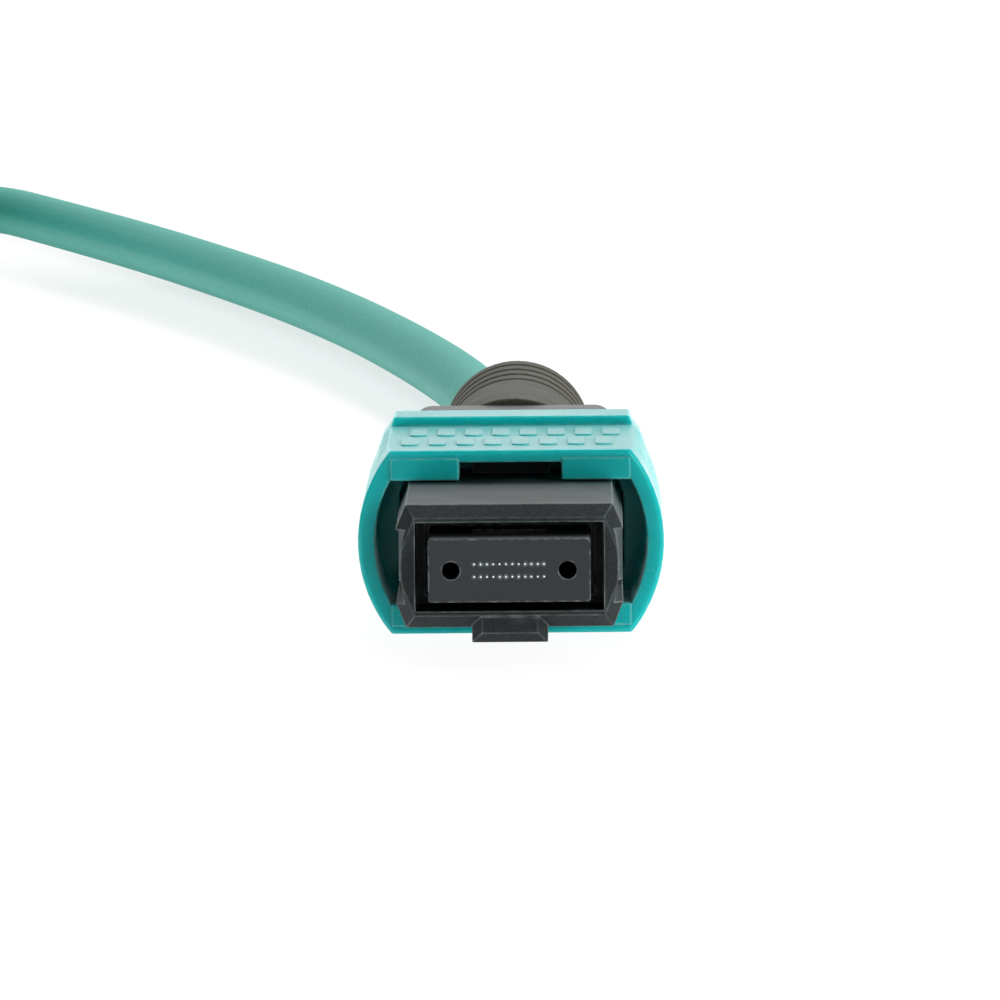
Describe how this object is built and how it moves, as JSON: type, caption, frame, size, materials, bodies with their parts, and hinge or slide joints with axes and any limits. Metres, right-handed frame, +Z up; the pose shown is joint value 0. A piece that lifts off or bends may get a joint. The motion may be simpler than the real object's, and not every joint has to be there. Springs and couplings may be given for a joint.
{
  "type": "mpo fibre connector",
  "caption": "Push-pull multi-fibre connector on a round aqua cable: spring-loaded rectangular ferrule with guide holes, sliding grip sleeve, crimped boot, coiled patch lead.",
  "frame": {"origin": "centre of the near ferrule's end face, where the fibres end", "axes": "+Y from the end face back along the connector, towards the cable; +X to the right as seen from the front; +Z up, away from the key; the surface it lies on is 4.13 mm below the origin"},
  "size_m": [0.0844, 0.275, 0.009],
  "materials": {
    "housing_plastic": "satin moulded thermoplastic",
    "sleeve_plastic": "satin moulded aqua thermoplastic",
    "spring_wire": "drawn stainless wire",
    "ferrule_resin": "glass-filled moulding with a polished end face",
    "fibre_silica": "polished glass",
    "grommet_rubber": "matt moulded elastomer",
    "clamp_plastic": "matt moulded thermoplastic",
    "ribbon_coating": "glossy acrylate coating",
    "crimp_body_plastic": "satin moulded thermoplastic",
    "aramid_yarn": "loose yellow aramid strands",
    "crimp_metal": "satin pressed metal",
    "boot_rubber": "matt moulded elastomer",
    "cable_jacket": "satin extruded jacket",
    "hook_and_loop": "black hook-and-loop strap"
  },
  "bodies": {
    "connector": {"inner_housing": "housing_plastic", "crimp_body": "crimp_body_plastic", "crimp_ring": "crimp_metal", "strength_yarn": "aramid_yarn", "strain_relief_boot": "boot_rubber", "fibre_ribbon_upper": "ribbon_coating", "fibre_ribbon_lower": "ribbon_coating", "ferrule_spring": "spring_wire", "sleeve_spring_left": "spring_wire", "sleeve_spring_right": "spring_wire", "cable_lead": "cable_jacket", "cable_coil": "cable_jacket", "coil_tie": "hook_and_loop", "far_cable_tail": "cable_jacket", "far_inner_housing": "housing_plastic", "far_crimp_body": "crimp_body_plastic", "far_strain_relief_boot": "boot_rubber"},
    "coupling": {"coupling_sleeve": "sleeve_plastic"},
    "ferrule_group": {"ferrule": "ferrule_resin", "optical_fibres": "fibre_silica", "ferrule_boot": "grommet_rubber", "pin_clamp": "clamp_plastic"},
    "far_coupling": {"far_coupling_sleeve": "sleeve_plastic"},
    "far_ferrule_group": {"far_ferrule": "ferrule_resin"}
  },
  "joints": [
    {"name": "sleeve_slide", "type": "slide", "parent": "connector", "child": "coupling", "axis": [0, 1, 0], "range_m": [0, 0.002], "stiffness_N_per_m": 1000, "springref_m": -0.0015, "deforming": ["sleeve_spring_left", "sleeve_spring_right"]},
    {"name": "ferrule_float", "type": "slide", "parent": "connector", "child": "ferrule_group", "axis": [0, 1, 0], "range_m": [0, 0.0008], "stiffness_N_per_m": 8000, "springref_m": -0.001, "deforming": ["ferrule_spring", "fibre_ribbon_upper", "fibre_ribbon_lower"]},
    {"name": "far_sleeve_slide", "type": "slide", "parent": "connector", "child": "far_coupling", "axis": [0, 1, 0], "range_m": [0, 0.002], "stiffness_N_per_m": 1000, "springref_m": -0.0015},
    {"name": "far_ferrule_float", "type": "slide", "parent": "connector", "child": "far_ferrule_group", "axis": [0, 1, 0], "range_m": [0, 0.0008], "stiffness_N_per_m": 8000, "springref_m": -0.001}
  ]
}
